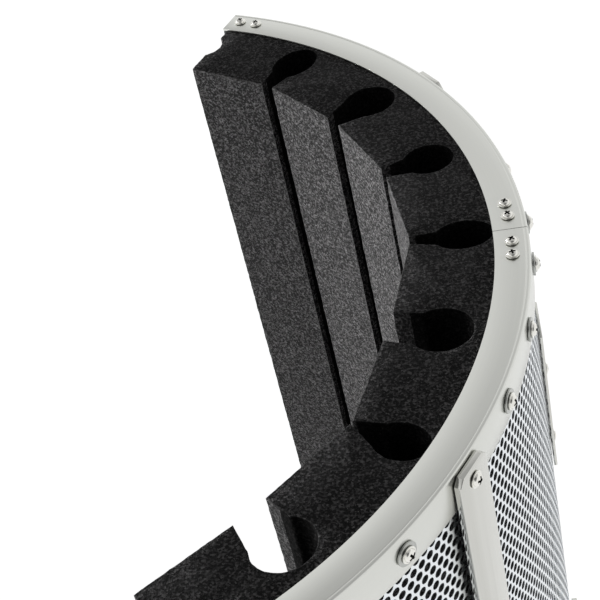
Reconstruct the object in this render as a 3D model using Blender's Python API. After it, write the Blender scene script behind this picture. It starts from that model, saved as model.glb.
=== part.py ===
# Microphone reflection filter: an arc of perforated steel with an L-section rim at top and bottom,
# a keyhole-slotted foam slab inside it, and a bracket, rail and sliding microphone post below it.
# Metres, +Z up. The opening faces -Y. Z = 0 is the underside of the mount rail, and X = 0 the seam.
# Angles along the arc are degrees from the centre back, positive towards +X. Places called "y" are
# measured from the arc's centre towards the back.

import math

import bmesh
import bpy
from mathutils import Matrix, Vector

# Arc of the shield
arcHalfAngle = 63.0
rimInnerRadius = 0.2310
rimWidth = 0.0150
bandHeight = 0.0180
shieldHeight = 0.3080
rimSheet = 0.0012
perforatedSheet = 0.0012
facetAngle = 2.7

# Clearance between touching pieces, and round a screw's shank
gap = 0.0003
shankClearance = 0.0003

# Foam slab. The slots are cut by hand, so each one, from the left end to the right, has its own
# mouth's width and sway, throat's width, and keyhole's sway, depth, half length and half width.
# A sway is how far the mouth or the keyhole stands from its even place, in degrees
slots = (
    (0.0074, -0.1, 0.0108, -0.4, 0.0198, 0.0132, 0.0101),
    (0.0100, -0.5, 0.0176, -0.7, 0.0181, 0.0130, 0.0119),
    (0.0076, -0.7, 0.0118, -0.5, 0.0188, 0.0116, 0.0108),
    (0.0048, -1.2, 0.0088, -0.7, 0.0217, 0.0128, 0.0095),
    (0.0172, -1.0, 0.0184, -0.8, 0.0159, 0.0134, 0.0128),
    (0.0016, -1.0, 0.0124, -0.5, 0.0221, 0.0120, 0.0095),
    (0.0162, -0.9, 0.0206, -0.2, 0.0155, 0.0127, 0.0130),
)
foamThickness = 0.0442
mouthFan = 0.35
keyholeSteps = 12
endKeyholeRadius = 0.0098
endKeyholeOverrun = 1.0
endKeyholeDepth = 0.0193
foamEndSetback = 0.48
rebateInset = 0.0015
rebateDepth = 0.0070

# Hidden frame between the foam and the sheet
frameSheet = 0.0015
screwMargin = 0.0052
backingStripWidth = 0.0240

# Straps
strapWidth = 0.0200
strapThickness = 0.0030
strapSetback = 0.0020
strapChamfer = 0.0030

# Plate over the sheet's seam
seamPlateDrop = 0.0528
seamPlateHeight = 0.0822
seamPlateWidth = 0.0240
seamPlateThickness = 0.0015
seamPlateScrewDrops = (0.0300, 0.0740)

# Screws: head radius, head height and shank radius
rimScrew = (0.0030, 0.0020, 0.0015)
bandScrew = (0.0035, 0.0022, 0.00175)
seamPlateScrew = (0.0028, 0.0012, 0.00175)
bracketScrew = (0.0047, 0.0030, 0.0025)
washerRadius = 0.0050
washerThickness = 0.0009
screwTip = 0.0010
screwSides = 12
holeSides = 8
roundSides = 24

# Places of the rim's screws, from the seam and from the end
seamScrewInset = 0.0088
seamScrewPitch = 0.0088
endScrewInset = 0.0068
endScrewPitch = 0.0098
flangeScrewInset = 0.0075
bandScrewDrop = 0.0091
bandSeamScrewInset = 0.0141
bandEndScrewInset = 0.0128
bandScrewCount = 7
strapScrewIndex = 3

# Rear bracket
bracketWidth = 0.0440
bracketSheet = 0.0030
bracketHeight = 0.0300
bracketFootLength = 0.0560
bracketUpperScrewX = 0.0065
bracketUpperScrewInset = 0.0075
footScrewInset = 0.0140
footScrewPitch = 0.0240
shimWidth = 0.0260
shimHeight = 0.0080

# Rail, from the bracket's foot forward: the socket, the slot and the rounded nose
railWidth = 0.0500
railThickness = 0.0080
railNose = 0.0200
railCorner = 0.0080
slotWidth = 0.0086
slotLength = 0.1000
slotInset = 0.0320
headRecessDepth = 0.0036

# Stand socket: a flanged bush with a nut on the rail's top
socketInset = 0.0303
socketBore = 0.0080
socketBarrel = 0.0110
socketFlange = 0.0145
socketFlangeThickness = 0.0025
socketHeight = 0.0230
socketNutFlats = 0.0300
socketNutHeight = 0.0060

# Microphone post, at rest this far from the slot's back end, with heights from the rail's top
postInset = 0.0350
studRadius = 0.0040
shoulderHeight = 0.0180
postRadius = 0.0060
postLength = 0.0660
collarRadius = 0.0095
collarHeight = 0.0030
threadRadius = 0.0079
threadLength = 0.0140
slideNutSide = 0.0160
slideNutHeight = 0.0034
clampWasherRadius = 0.0120
clampWasherThickness = 0.0013
clampNutRadius = 0.0140
clampNutHeight = 0.0120
lockRingRadius = 0.0130
lockRingHeight = 0.0060
knurlCount = 14
knurlDepth = 0.0008

# Worked out from the sizes above
rimOuterRadius = rimInnerRadius + rimWidth
bandInnerRadius = rimOuterRadius - rimSheet
sheetOuterRadius = bandInnerRadius - gap
sheetInnerRadius = sheetOuterRadius - perforatedSheet
frameOuterRadius = sheetInnerRadius - gap
frameInnerRadius = frameOuterRadius - frameSheet
foamOuterRadius = frameInnerRadius - gap
foamCornerRadius = foamOuterRadius - foamThickness
rebateRadius = rimInnerRadius + rebateInset
flangeScrewRadius = rimInnerRadius + flangeScrewInset
headRoom = rimScrew[1] + 2 * gap
footTop = railThickness + gap + bracketSheet
shieldBottom = footTop + headRoom
shieldTop = shieldBottom + shieldHeight
bracketFace = rimOuterRadius + gap
bracketBack = bracketFace + bracketSheet
seamPlateFace = sheetOuterRadius + gap
bracketFront = bracketBack - bracketFootLength
bracketTop = shieldBottom + bracketHeight
bracketUpperScrewLevel = bracketTop - bracketUpperScrewInset
socketY = bracketFront - socketInset
slotBack = socketY - slotInset
slotFront = slotBack - slotLength
postY = slotBack - postInset
railFront = slotFront - railNose
arcY = -(bracketBack + gap + bracketScrew[1] + railFront) / 2
sides = ((-1, "left"), (1, "right"))
levels = ((True, "top"), (False, "bottom"))

finishes = {
    "satin steel": ((0.48, 0.49, 0.45), 0.38, 1.0),
    "polished steel": ((0.72, 0.72, 0.70), 0.16, 1.0),
    "perforated steel": ((0.74, 0.76, 0.78), 0.32, 1.0),
    "zinc plate": ((0.55, 0.55, 0.53), 0.28, 1.0),
    "black plastic": ((0.02, 0.02, 0.02), 0.45, 0.0),
    "open-cell foam": ((0.018, 0.017, 0.019), 0.95, 0.0),
}


def clearScene():
    for thing in list(bpy.data.objects):
        bpy.data.objects.remove(thing, do_unlink=True)


def addMaterial(thing, finish):
    colour, roughness, metallic = finishes[finish]
    material = bpy.data.materials.new(thing.name + " " + finish)
    material.use_nodes = True
    shader = material.node_tree.nodes["Principled BSDF"]
    shader.inputs["Base Color"].default_value = (*colour, 1.0)
    shader.inputs["Roughness"].default_value = roughness
    shader.inputs["Metallic"].default_value = metallic
    thing.data.materials.append(material)


def linkMesh(name, bm):
    bmesh.ops.remove_doubles(bm, verts=bm.verts, dist=1e-7)
    bmesh.ops.recalc_face_normals(bm, faces=bm.faces)
    mesh = bpy.data.meshes.new(name)
    bm.to_mesh(mesh)
    bm.free()
    thing = bpy.data.objects.new(name, mesh)
    bpy.context.scene.collection.objects.link(thing)
    return thing


def addPiece(name, bm, finish, origin=(0.0, 0.0, 0.0)):
    # the mesh is made in world places, and the origin is where the piece turns or slides
    bmesh.ops.translate(bm, verts=bm.verts, vec=-Vector(origin))
    thing = linkMesh(name, bm)
    thing.location = origin
    thing.data.shade_smooth()
    thing.data.set_sharp_from_angle(angle=math.radians(35))
    addMaterial(thing, finish)
    return thing


def addCutter(name, bm):
    cutter = linkMesh(name, bm)
    cutter.hide_render = True
    cutter.display_type = "WIRE"
    return cutter


def combine(thing, cutter, operation="DIFFERENCE"):
    modifier = thing.modifiers.new(cutter.name, "BOOLEAN")
    modifier.operation = operation
    modifier.solver = "EXACT"
    modifier.object = cutter


# Places
def arcPoint(radius, angle, z=0.0):
    a = math.radians(angle)
    return Vector((radius * math.sin(a), arcY + radius * math.cos(a), z))


def arcAngle(length, radius):
    return math.degrees(length / radius)


def outwardPlace(radius, angle, z):
    # local +Z points out from the arc
    a = math.radians(angle)
    out = Vector((math.sin(a), math.cos(a), 0.0))
    along = Vector((math.cos(a), -math.sin(a), 0.0))
    turn = Matrix((along, out.cross(along), out)).transposed().to_4x4()
    return Matrix.Translation(arcPoint(radius, angle, z)) @ turn


def backPlace(x, y, z):
    # local +Z points to the back
    return Matrix.Translation((x, arcY + y, z)) @ Matrix.Rotation(-math.pi / 2, 4, "X")


def upPlace(x, y, z):
    return Matrix.Translation((x, arcY + y, z))


def downPlace(x, y, z):
    return upPlace(x, y, z) @ Matrix.Rotation(math.pi, 4, "X")


# Shapes
def rectangle(low, high, z0, z1):
    return ((low, z0), (high, z0), (high, z1), (low, z1))


def addArcSweep(bm, profile, start, end):
    # a closed (radius, z) profile carried along the arc from one angle to another
    corners = [bm.verts.new(arcPoint(r, start, z)) for r, z in profile]
    face = bm.faces.new(corners)
    steps = math.ceil(abs(end - start) / facetAngle)
    bmesh.ops.spin(
        bm, geom=[face], cent=(0.0, arcY, 0.0), axis=(0.0, 0.0, 1.0),
        angle=-math.radians(end - start), steps=steps, use_merge=False, use_duplicate=False,
    )


def addPrism(bm, outline, depth):
    # a flat outline raised by a vector
    face = bm.faces.new([bm.verts.new(p) for p in outline])
    raised = bmesh.ops.extrude_face_region(bm, geom=[face])
    moved = [v for v in raised["geom"] if isinstance(v, bmesh.types.BMVert)]
    bmesh.ops.translate(bm, verts=moved, vec=depth)


def addTurned(bm, profile, sidesRound, place, closed=False):
    # a (radius, height) profile turned about its own axis, then placed
    before = set(bm.verts)
    points = [bm.verts.new((r, 0.0, h)) for r, h in profile]
    pairs = list(zip(points, points[1:]))
    if closed:
        pairs.append((points[-1], points[0]))
    edges = [bm.edges.new(pair) for pair in pairs]
    bmesh.ops.spin(
        bm, geom=points + edges, cent=(0.0, 0.0, 0.0), axis=(0.0, 0.0, 1.0),
        angle=2 * math.pi, steps=sidesRound, use_merge=True, use_duplicate=False,
    )
    made = [v for v in bm.verts if v not in before]
    bmesh.ops.transform(bm, matrix=place, verts=made)


def addCylinder(bm, radius, low, high, sidesRound, place):
    addTurned(bm, ((0.0, low), (radius, low), (radius, high), (0.0, high)), sidesRound, place)


def addRing(bm, inner, outer, low, high, sidesRound, place):
    addTurned(bm, rectangle(inner, outer, low, high), sidesRound, place, closed=True)


def addStepped(bm, wide, narrow, recess, top, place):
    # a hole from below, wide as far as a recess and narrow above it
    low = -railThickness
    profile = ((0.0, low), (wide, low), (wide, recess), (narrow, recess), (narrow, top), (0.0, top))
    addTurned(bm, profile, roundSides, place)


def addScrew(name, size, reach, place, washer=False):
    # a pan head on the plane z = 0 with its shank below, or on its own captive washer
    headRadius, headHeight, shankRadius = size
    seat = washerThickness if washer else 0.0
    profile = [
        (0.0, seat + headHeight),
        (0.62 * headRadius, seat + 0.90 * headHeight),
        (0.93 * headRadius, seat + 0.55 * headHeight),
        (headRadius, seat),
    ]
    if washer:
        profile += [(washerRadius, seat), (washerRadius, 0.0)]
    profile += [(shankRadius, 0.0), (shankRadius, -reach), (0.0, -reach)]
    bm = bmesh.new()
    addTurned(bm, profile, screwSides, place)
    addPiece(name, bm, "zinc plate")


def addHole(bm, size, below, above, place):
    addCylinder(bm, size[2] + shankClearance, -below, above, holeSides, place)


# Places of the fasteners
def flangeScrewAngles(side):
    lengths = [seamScrewInset + i * seamScrewPitch for i in range(2)]
    seam = [arcAngle(length, flangeScrewRadius) for length in lengths]
    lengths = [endScrewInset + i * endScrewPitch for i in range(2)]
    end = [arcHalfAngle - arcAngle(length, flangeScrewRadius) for length in lengths]
    return [side * angle for angle in seam + end]


def flangeScrewPlaces(side, top):
    # on the flange's outer face: up on the top rim, down on the bottom rim
    place = upPlace if top else downPlace
    face = shieldTop + gap if top else shieldBottom - gap
    for angle in flangeScrewAngles(side):
        point = arcPoint(flangeScrewRadius, angle)
        yield place(point.x, point.y - arcY, face)


def bandScrewAngles(side):
    first = arcAngle(bandSeamScrewInset, rimOuterRadius)
    last = arcHalfAngle - arcAngle(bandEndScrewInset, rimOuterRadius)
    pitch = (last - first) / (bandScrewCount - 1)
    return [side * (first + i * pitch) for i in range(bandScrewCount)]


def bandLevel(top):
    return shieldTop - bandScrewDrop if top else shieldBottom + bandScrewDrop


def isBracketScrew(index, top):
    return index == 0 and not top


def seamPlateScrewPlaces(radius):
    # on the seam itself, so that one screw holds both sheets
    return [backPlace(0.0, radius, shieldTop - seamPlateDrop - drop) for drop in seamPlateScrewDrops]


def bracketScrewPlaces(side):
    lower = backPlace(side * bandSeamScrewInset, bracketBack + gap, bandLevel(False))
    upper = backPlace(side * bracketUpperScrewX, bracketBack + gap, bracketUpperScrewLevel)
    return (("lower", lower), ("upper", upper))


def footScrewPlaces():
    first = bracketFront + footScrewInset
    return [first, first + footScrewPitch]


# Holes, each cutter shared by all the pieces that its screws go through
def flangeHoles():
    bm = bmesh.new()
    for side, _ in sides:
        for top, _ in levels:
            for place in flangeScrewPlaces(side, top):
                addHole(bm, rimScrew, rebateDepth, rimScrew[1], place)
    return addCutter("flange_holes", bm)


def bandHoles():
    bm = bmesh.new()
    inwards = rimOuterRadius - frameInnerRadius + gap
    outwards = 2 * strapThickness
    for side, _ in sides:
        for top, _ in levels:
            for index, angle in enumerate(bandScrewAngles(side)):
                if not isBracketScrew(index, top):
                    place = outwardPlace(rimOuterRadius, angle, bandLevel(top))
                    addHole(bm, bandScrew, inwards, outwards, place)
    return addCutter("band_holes", bm)


def backHoles():
    bm = bmesh.new()
    inwards = bracketBack - frameInnerRadius + 4 * gap
    for side, _ in sides:
        for _, place in bracketScrewPlaces(side):
            addHole(bm, bracketScrew, inwards, bracketSheet, place)
    for place in seamPlateScrewPlaces(bracketBack):
        addHole(bm, seamPlateScrew, inwards, bracketSheet, place)
    return addCutter("back_holes", bm)


def footHoles():
    bm = bmesh.new()
    for y in footScrewPlaces():
        head, shank = bracketScrew[0] + gap, bracketScrew[2] + shankClearance
        addStepped(bm, head, shank, headRecessDepth, footTop + bracketSheet, upPlace(0.0, y, 0.0))
    return addCutter("foot_holes", bm)


# Rims and the frame inside
def buildRims(cutters):
    for top, level in levels:
        face, inward = (shieldTop, -1) if top else (shieldBottom, 1)
        profile = (
            (rimInnerRadius, face),
            (rimOuterRadius, face),
            (rimOuterRadius, face + inward * bandHeight),
            (bandInnerRadius, face + inward * bandHeight),
            (bandInnerRadius, face + inward * rimSheet),
            (rimInnerRadius, face + inward * rimSheet),
        )
        for side, word in sides:
            bm = bmesh.new()
            seam = arcAngle(gap / 2, rimOuterRadius)
            addArcSweep(bm, profile, side * seam, side * arcHalfAngle)
            rim = addPiece(f"{level}_rim_{word}", bm, "satin steel")
            for cutter in cutters:
                combine(rim, cutter)


def underFlange(top, thickness):
    # the lowest and highest z of a plate against the flange's inner face
    if top:
        high = shieldTop - rimSheet - gap
        return high - thickness, high
    low = shieldBottom + rimSheet + gap
    return low, low + thickness


def buildSplicePlates(holes):
    length = seamScrewInset + seamScrewPitch + screwMargin
    half = arcAngle(length, flangeScrewRadius)
    for top, level in levels:
        bm = bmesh.new()
        z0, z1 = underFlange(top, frameSheet)
        profile = rectangle(rebateRadius + gap, frameInnerRadius - gap, z0, z1)
        addArcSweep(bm, profile, -half, half)
        combine(addPiece(level + "_splice_plate", bm, "zinc plate"), holes)


def uprightInnerAngle():
    return arcHalfAngle - arcAngle(bandEndScrewInset + screwMargin, frameOuterRadius)


def buildEndUprights(cutters):
    # an L seen from above, one leg on the sheet and one across the end, with a tab under each flange
    z0 = underFlange(False, 0.0)[0]
    z1 = underFlange(True, 0.0)[1]
    capAngle = arcHalfAngle - arcAngle(frameSheet, rimInnerRadius)
    tabAngle = capAngle - arcAngle(endScrewInset + endScrewPitch + screwMargin, flangeScrewRadius)
    for side, word in sides:
        leg = bmesh.new()
        profile = rectangle(frameInnerRadius, frameOuterRadius, z0, z1)
        addArcSweep(leg, profile, side * uprightInnerAngle(), side * arcHalfAngle)
        upright = addPiece("end_upright_" + word, leg, "zinc plate")
        cap = bmesh.new()
        overlap = frameInnerRadius + frameSheet / 2
        profile = rectangle(rimInnerRadius, overlap, z0, z1)
        addArcSweep(cap, profile, side * capAngle, side * arcHalfAngle)
        combine(upright, addCutter("end_cap_" + word, cap), "UNION")
        for top, level in levels:
            tab = bmesh.new()
            t0, t1 = underFlange(top, frameSheet)
            profile = rectangle(rebateRadius + gap, overlap, t0, t1)
            addArcSweep(tab, profile, side * tabAngle, side * (capAngle + arcHalfAngle) / 2)
            combine(upright, addCutter(f"end_tab_{level}_{word}", tab), "UNION")
        for cutter in cutters:
            combine(upright, cutter)


def buildInnerStrips(cutters):
    # threaded strips behind the bands, which the band screws go into
    reach = uprightInnerAngle() - arcAngle(gap, frameInnerRadius)
    tabsStart = arcHalfAngle - arcAngle(
        frameSheet + endScrewInset + endScrewPitch + 2 * screwMargin, flangeScrewRadius
    )
    half = min(reach, tabsStart)
    for top, level in levels:
        low, high = underFlange(top, bandHeight - rimSheet - gap)
        bm = bmesh.new()
        addArcSweep(bm, rectangle(frameInnerRadius, frameOuterRadius, low, high), -half, half)
        strip = addPiece(level + "_inner_strip", bm, "zinc plate")
        for cutter in cutters:
            combine(strip, cutter)


def buildShells(cutters):
    z0 = underFlange(False, 0.0)[0]
    z1 = underFlange(True, 0.0)[1]
    seam = arcAngle(gap / 2, sheetOuterRadius)
    for side, word in sides:
        bm = bmesh.new()
        profile = rectangle(sheetInnerRadius, sheetOuterRadius, z0, z1)
        addArcSweep(bm, profile, side * seam, side * arcHalfAngle)
        shell = addPiece("perforated_shell_" + word, bm, "perforated steel")
        for cutter in cutters:
            combine(shell, cutter)


# Foam
def roundPoints(centre, radius, start, end, steps):
    angles = [start + (end - start) * i / steps for i in range(steps + 1)]
    return [centre + radius * Vector((math.cos(a), math.sin(a), 0.0)) for a in angles]


def slotCentre(index):
    pitch = 2 * (arcHalfAngle + endKeyholeOverrun) / (len(slots) + 1)
    return (index - (len(slots) - 1) / 2) * pitch


def mouthRadius(mouth):
    # a wide mouth opens the slab, so its corners stand further in
    return foamCornerRadius - mouthFan * mouth


def slotOutline(index):
    # from the mouth's right corner, round the oval keyhole, to its left corner
    mouth, mouthSway, throat, keyholeSway, depth, halfLength, halfWidth = slots[index]
    angle = slotCentre(index) + keyholeSway
    place = outwardPlace(foamCornerRadius + depth, angle, 0.0)
    opening = math.asin(throat / 2 / halfWidth)
    turns = [opening + 2 * (math.pi - opening) * i / keyholeSteps for i in range(keyholeSteps + 1)]
    keyhole = [
        place @ Vector((halfWidth * math.sin(t), 0.0, -halfLength * math.cos(t))) for t in turns
    ]
    radius = mouthRadius(mouth)
    middle = slotCentre(index) + mouthSway
    half = arcAngle(mouth / 2, radius)
    return [arcPoint(radius, middle + half), *keyhole, arcPoint(radius, middle - half)]


def endOutline():
    # the right end, from its outer corner, round what is left of the last keyhole, to its inner corner
    angle = arcHalfAngle - foamEndSetback
    beyond = slotCentre(len(slots))
    radius = foamCornerRadius + endKeyholeDepth
    offset = radius * math.sin(math.radians(beyond - angle))
    opening = math.acos(offset / endKeyholeRadius)
    towards = math.pi - math.radians(angle)
    centre = arcPoint(radius, beyond)
    keyhole = roundPoints(
        centre, endKeyholeRadius, towards - opening, towards + opening, keyholeSteps // 2
    )
    return [*keyhole, arcPoint(mouthRadius(slots[0][0]), angle)]


def foamOutline():
    angle = arcHalfAngle - foamEndSetback
    count = 2 * math.ceil(angle / facetAngle)
    outer = [arcPoint(foamOuterRadius, -angle + 2 * angle * i / count) for i in range(count + 1)]
    right = endOutline()
    left = [Vector((-p.x, p.y, p.z)) for p in reversed(right)]
    middle = [point for index in reversed(range(len(slots))) for point in slotOutline(index)]
    return outer + right + middle + left


def buildFoam():
    z0 = underFlange(False, 0.0)[0]
    z1 = underFlange(True, 0.0)[1]
    bm = bmesh.new()
    raised = Vector((0.0, 0.0, z0))
    addPrism(bm, [point + raised for point in foamOutline()], (0.0, 0.0, z1 - z0))
    foam = addPiece("foam_slab", bm, "open-cell foam")
    rebates = bmesh.new()
    beyond = foamOuterRadius + rimWidth
    for z in (z0, z1):
        profile = rectangle(rebateRadius, beyond, z - rebateDepth, z + rebateDepth)
        addArcSweep(rebates, profile, -arcHalfAngle, arcHalfAngle)
    combine(foam, addCutter("foam_rebates", rebates))


# Straps and the plate over the seam
def buildStraps(holes):
    half, cut = strapWidth / 2, strapChamfer
    z0, z1 = shieldBottom + strapSetback, shieldTop - strapSetback
    shape = (
        (-half, z0 + cut), (-half + cut, z0), (half - cut, z0), (half, z0 + cut),
        (half, z1 - cut), (half - cut, z1), (-half + cut, z1), (-half, z1 - cut),
    )
    for side, word in sides:
        angle = bandScrewAngles(side)[strapScrewIndex]
        place = outwardPlace(rimOuterRadius + gap, angle, 0.0)
        outline = [place @ Vector((u, -z, 0.0)) for u, z in shape]
        out = place.to_3x3() @ Vector((0.0, 0.0, strapThickness))
        bm = bmesh.new()
        addPrism(bm, outline, out)
        combine(addPiece("strap_" + word, bm, "polished steel"), holes)


def addBackPlate(name, face, thickness, width, low, high, finish, holes):
    # a flat upright plate whose inner face is at a distance behind the arc's centre
    outline = [backPlace(x, face, z) @ Vector() for x, z in rectangle(-width / 2, width / 2, low, high)]
    bm = bmesh.new()
    addPrism(bm, outline, (0.0, thickness, 0.0))
    combine(addPiece(name, bm, finish), holes)


def buildSeamPlate(holes):
    high = shieldTop - seamPlateDrop
    addBackPlate(
        "seam_plate", seamPlateFace, seamPlateThickness, seamPlateWidth,
        high - seamPlateHeight, high, "polished steel", holes,
    )


def buildBackingStrip(holes):
    half = arcAngle(backingStripWidth / 2, frameOuterRadius)
    low, high = shieldBottom + bandHeight + gap, shieldTop - bandHeight - gap
    bm = bmesh.new()
    addArcSweep(bm, rectangle(frameInnerRadius, frameOuterRadius, low, high), -half, half)
    combine(addPiece("seam_backing_strip", bm, "zinc plate"), holes)


# Screws of the shield
def buildShieldScrews():
    flangeReach = gap + rimSheet + gap + frameSheet + screwTip
    for side, word in sides:
        for index, place in enumerate(flangeScrewPlaces(side, True)):
            addScrew(f"top_rim_screw_{word}_{index + 1}", rimScrew, flangeReach, place)
        for index, angle in enumerate(bandScrewAngles(side)):
            onStrap = index == strapScrewIndex
            seat = rimOuterRadius + gap
            name = f"top_band_screw_{word}_{index + 1}"
            if onStrap:
                seat += strapThickness + gap
                name = "top_strap_screw_" + word
            place = outwardPlace(seat, angle, bandLevel(True))
            addScrew(name, bandScrew, seat - frameInnerRadius, place, washer=not onStrap)
    seat = seamPlateFace + seamPlateThickness + gap
    for row, place in enumerate(seamPlateScrewPlaces(seat)):
        addScrew(f"seam_plate_screw_{row + 1}", seamPlateScrew, seat - frameInnerRadius, place)


# Rear bracket
def buildBracket(cutters):
    # a leg behind the bottom rim, bent forward into a foot under it
    shape = (
        (bracketFront, footTop - bracketSheet),
        (bracketBack, footTop - bracketSheet),
        (bracketBack, bracketTop),
        (bracketFace, bracketTop),
        (bracketFace, footTop),
        (bracketFront, footTop),
    )
    bm = bmesh.new()
    addPrism(bm, [Vector((-bracketWidth / 2, arcY + y, z)) for y, z in shape], (bracketWidth, 0.0, 0.0))
    bracket = addPiece("rear_bracket", bm, "satin steel")
    for cutter in cutters:
        combine(bracket, cutter)


def buildBracketFittings(holes):
    addBackPlate(
        "bracket_shim", sheetOuterRadius + gap, bracketFace - sheetOuterRadius - 2 * gap, shimWidth,
        bracketUpperScrewLevel - shimHeight / 2, bracketUpperScrewLevel + shimHeight / 2,
        "zinc plate", holes,
    )
    reach = bracketBack + gap - frameInnerRadius
    for side, word in sides:
        for level, place in bracketScrewPlaces(side):
            addScrew(f"bracket_screw_{level}_{word}", bracketScrew, reach, place)
    seat = headRecessDepth - gap
    for index, y in enumerate(footScrewPlaces()):
        addScrew(f"foot_screw_{index + 1}", bracketScrew, footTop - seat, downPlace(0.0, y, seat))


# Rail and stand socket
def slotPoints(z):
    half = slotWidth / 2
    steps = roundSides // 2
    back = roundPoints(Vector((0.0, arcY + slotBack - half, z)), half, 0.0, math.pi, steps)
    front = roundPoints(Vector((0.0, arcY + slotFront + half, z)), half, math.pi, 2 * math.pi, steps)
    return back + front


def railPoints():
    half, corner = railWidth / 2, railCorner
    back = arcY + bracketBack
    front = arcY + railFront + corner
    left = roundPoints(Vector((-half + corner, front, 0.0)), corner, math.pi, 1.5 * math.pi, 4)
    right = roundPoints(Vector((half - corner, front, 0.0)), corner, 1.5 * math.pi, 2 * math.pi, 4)
    return [*left, *right, Vector((half, back, 0.0)), Vector((-half, back, 0.0))]


def buildRail(holes):
    bm = bmesh.new()
    addPrism(bm, railPoints(), (0.0, 0.0, railThickness))
    rail = addPiece("mount_rail", bm, "satin steel")
    combine(rail, holes)
    slot = bmesh.new()
    addPrism(slot, slotPoints(-railThickness), (0.0, 0.0, 3 * railThickness))
    combine(rail, addCutter("rail_slot", slot))
    # the groove below the slot, which keeps the slide nut from turning
    groove = bmesh.new()
    half = slideNutSide / 2 + gap
    endRoom = half - slotWidth / 2 + gap
    front, back = arcY + slotFront - endRoom, arcY + slotBack + endRoom
    outline = [Vector((x, y, -railThickness)) for x, y in rectangle(-half, half, front, back)]
    addPrism(groove, outline, (0.0, 0.0, railThickness + slideNutHeight + 2 * gap))
    combine(rail, addCutter("rail_groove", groove))
    socket = bmesh.new()
    place = upPlace(0.0, socketY, 0.0)
    recess = socketFlangeThickness + gap
    addStepped(socket, socketFlange + gap, socketBarrel + gap, recess, 2 * railThickness, place)
    combine(rail, addCutter("rail_socket_hole", socket))


def buildSocket():
    place = upPlace(0.0, socketY, 0.0)
    profile = (
        (socketBore, 0.0),
        (socketFlange, 0.0),
        (socketFlange, socketFlangeThickness),
        (socketBarrel, socketFlangeThickness),
        (socketBarrel, socketHeight),
        (socketBore, socketHeight),
    )
    bm = bmesh.new()
    addTurned(bm, profile, roundSides, place, closed=True)
    addPiece("stand_socket", bm, "zinc plate")
    bm = bmesh.new()
    low = railThickness + gap
    addCylinder(bm, socketNutFlats / math.sqrt(3), low, low + socketNutHeight, 6, place)
    nut = addPiece("socket_nut", bm, "zinc plate")
    bore = bmesh.new()
    addCylinder(bore, socketBarrel + gap, -railThickness, 2 * socketHeight, roundSides, place)
    combine(nut, addCutter("socket_nut_bore", bore))


# Microphone post
def addKnurledRing(name, inner, outer, low, high, place, finish, origin):
    count = 2 * knurlCount
    turns = [2 * math.pi * i / count for i in range(count)]
    radii = [outer - knurlDepth * (i % 2) for i in range(count)]
    bm = bmesh.new()
    addPrism(
        bm, [place @ Vector((r * math.cos(a), r * math.sin(a), low)) for r, a in zip(radii, turns)],
        (0.0, 0.0, high - low),
    )
    ring = addPiece(name, bm, finish, origin)
    bore = bmesh.new()
    addCylinder(bore, inner, low - knurlDepth, high + knurlDepth, roundSides, place)
    combine(ring, addCutter(name + "_bore", bore))


def buildPost():
    origin = (0.0, arcY + postY, railThickness)
    place = Matrix.Translation(origin)
    collarLow = shoulderHeight + postLength
    collarHigh = collarLow + collarHeight
    top = collarHigh + threadLength
    profile = (
        (0.0, gap - railThickness),
        (studRadius, gap - railThickness),
        (studRadius, shoulderHeight),
        (postRadius, shoulderHeight),
        (postRadius, collarLow),
        (collarRadius, collarLow),
        (collarRadius, collarHigh),
        (threadRadius, collarHigh),
        (threadRadius, top),
        (0.0, top),
    )
    bm = bmesh.new()
    addTurned(bm, profile, roundSides, place)
    addPiece("mic_post", bm, "polished steel", origin)
    buildSlideNut(place, origin)
    bm = bmesh.new()
    washerHigh = gap + clampWasherThickness
    addRing(bm, studRadius + gap, clampWasherRadius, gap, washerHigh, roundSides, place)
    addPiece("clamp_washer", bm, "zinc plate", origin)
    low = washerHigh + gap
    addKnurledRing(
        "clamp_nut", studRadius + gap, clampNutRadius, low, low + clampNutHeight, place,
        "black plastic", origin,
    )
    low = collarHigh + gap
    addKnurledRing(
        "lock_ring", threadRadius + gap, lockRingRadius, low, low + lockRingHeight, place,
        "zinc plate", origin,
    )


def buildSlideNut(place, origin):
    half = slideNutSide / 2
    low = gap - railThickness
    outline = [place @ Vector((x, y, low)) for x, y in rectangle(-half, half, -half, half)]
    bm = bmesh.new()
    addPrism(bm, outline, (0.0, 0.0, slideNutHeight))
    nut = addPiece("slide_nut", bm, "zinc plate", origin)
    bore = bmesh.new()
    addCylinder(bore, studRadius + gap, -2 * railThickness, 0.0, roundSides, place)
    combine(nut, addCutter("slide_nut_bore", bore))


def buildAll():
    clearScene()
    flange, band, back, foot = flangeHoles(), bandHoles(), backHoles(), footHoles()
    buildRims((flange, band, back))
    buildSplicePlates(flange)
    buildEndUprights((flange, band))
    buildInnerStrips((band, back))
    buildShells((band, back))
    buildFoam()
    buildStraps(band)
    buildSeamPlate(back)
    buildBackingStrip(back)
    buildShieldScrews()
    buildBracket((back, foot))
    buildBracketFittings(back)
    buildRail(foot)
    buildSocket()
    buildPost()


buildAll()
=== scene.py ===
import math

import bmesh
import bpy
from mathutils import Matrix, Vector, noise


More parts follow.
